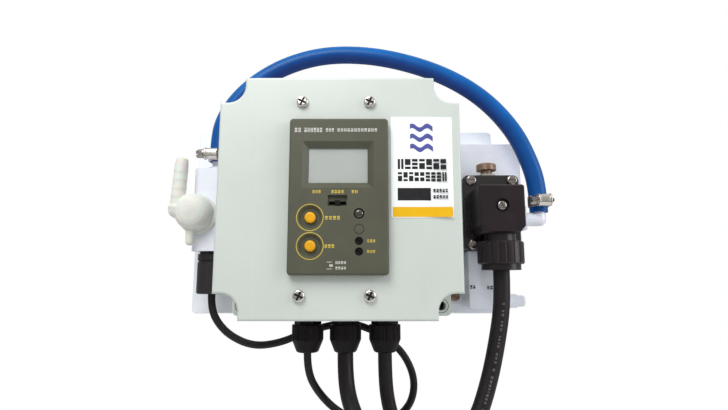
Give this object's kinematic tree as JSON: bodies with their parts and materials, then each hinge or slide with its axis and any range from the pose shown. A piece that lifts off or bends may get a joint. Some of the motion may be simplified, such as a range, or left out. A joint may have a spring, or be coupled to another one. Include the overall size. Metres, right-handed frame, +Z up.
{
  "type": "salt chlorine generator salinity controller",
  "caption": "Wall plate with a notched grey controller box, panel meter, probe cell, solenoid valve, blue bypass hose and black cables.",
  "frame": {"origin": "centre of the back plate's rear face, which lies on the wall", "axes": "+X to the right seen from the front, +Y out of the plate's rear face into the wall, +Z up"},
  "size_m": [0.2505, 0.1047, 0.4768],
  "materials": {
    "white_plate": "smooth white sheet",
    "box_grey": "light grey moulded",
    "stainless": "bright stainless",
    "nickel": "nickel plated",
    "graphite": "graphite rod",
    "brass": "dull brass",
    "brass_pin": "nickel brass",
    "seal_rubber": "soft black rubber",
    "label_white": "printed vinyl",
    "meter_olive": "fine-grained olive grey",
    "meter_black": "black moulded",
    "window_clear": "clear acrylic",
    "lcd_grey": "liquid crystal grey",
    "board_green": "green circuit board",
    "terminal_green": "green terminal block",
    "key_orange": "orange dome",
    "switch_black": "black moulded",
    "lamp_dark": "dark tinted dome",
    "gland_black": "black nylon",
    "white_manifold": "white moulded",
    "nylon_cream": "translucent nylon",
    "probe_black": "black moulded",
    "coil_black": "black moulded",
    "copper": "enamelled copper",
    "din_black": "black moulded",
    "hose_blue": "blue polyurethane",
    "cable_black": "black cable sheath",
    "tie_nylon": "black nylon tie",
    "plug_black": "black moulded"
  },
  "bodies": {
    "controller": {"back_plate": "white_plate", "enclosure_base": "box_grey", "base_screws": "stainless", "enclosure_lid": "box_grey", "box_gaskets": "seal_rubber", "lid_screws": "stainless", "lid_inserts": "brass", "front_label": "label_white", "meter_bezel": "meter_olive", "meter_case": "meter_black", "display_window": "window_clear", "display_module": "lcd_grey", "circuit_boards": "board_green", "terminal_block": "terminal_green", "meter_brackets": "meter_black", "bracket_screws": "stainless", "status_lamp": "lamp_dark", "gland_bodies": "gland_black", "gland_locknuts": "gland_black", "gland_nuts": "gland_black", "cable_seals": "seal_rubber", "cable_clip": "white_manifold", "probe_cell": "white_manifold", "left_hose_tail": "white_manifold", "inlet_elbow": "nylon_cream", "probe_body": "probe_black", "probe_electrodes": "graphite", "probe_seal": "seal_rubber", "valve_manifold": "white_manifold", "manifold_screws": "brass", "outlet_tail": "white_manifold", "right_hose_elbow": "white_manifold", "coil_housing": "coil_black", "coil_winding": "copper", "core_tube": "stainless", "coil_screws": "nickel", "din_plug_housing": "din_black", "din_contact_insert": "din_black", "din_gasket": "seal_rubber", "din_screw": "nickel", "din_gland_nut": "din_black", "hose_clamps": "stainless", "hose_clamp_screws": "stainless", "hose_loop": "hose_blue", "valve_cable": "cable_black", "probe_cable": "cable_black", "mains_lead": "cable_black", "mains_lead_coil": "cable_black", "mains_lead_tail": "cable_black", "coil_ties": "tie_nylon", "mains_plug": "plug_black", "plug_pins": "brass_pin"},
    "measure_key": {"measure_button": "key_orange"},
    "set_key": {"set_button": "key_orange"},
    "mode_switch": {"mode_slider": "switch_black"},
    "calibration_screw": {"calibration_trimmer": "switch_black"},
    "setpoint_screw": {"setpoint_trimmer": "switch_black"},
    "manual_knob": {"override_knob": "brass"},
    "plunger": {"valve_plunger": "stainless", "plunger_spring": "stainless"}
  },
  "joints": [
    {"name": "measure_press", "type": "slide", "parent": "controller", "child": "measure_key", "axis": [0, 1, 0], "range_m": [0, 0.0012], "stiffness_N_per_m": 900, "springref_m": -0.0004},
    {"name": "set_press", "type": "slide", "parent": "controller", "child": "set_key", "axis": [0, 1, 0], "range_m": [0, 0.0012], "stiffness_N_per_m": 900, "springref_m": -0.0004},
    {"name": "mode_slide", "type": "slide", "parent": "controller", "child": "mode_switch", "axis": [1, 0, 0], "range_m": [-0.0025, 0.0025]},
    {"name": "calibration_turn", "type": "hinge", "parent": "controller", "child": "calibration_screw", "pos_m": [0.0109, -0.1, -0.0233], "axis": [0, -1, 0], "range_deg": [-135, 135]},
    {"name": "setpoint_turn", "type": "hinge", "parent": "controller", "child": "setpoint_screw", "pos_m": [0.0109, -0.1, -0.0288], "axis": [0, -1, 0], "range_deg": [-135, 135]},
    {"name": "manual_knob_turn", "type": "hinge", "parent": "controller", "child": "manual_knob", "pos_m": [0.0983, -0.024, 0.034], "axis": [0, 0, 1], "range_deg": [-90, 90]},
    {"name": "plunger_lift", "type": "slide", "parent": "controller", "child": "plunger", "axis": [0, 0, 1], "range_m": [0, 0.002], "stiffness_N_per_m": 1200, "springref_m": -0.0012, "deforming": ["plunger_spring"]}
  ]
}
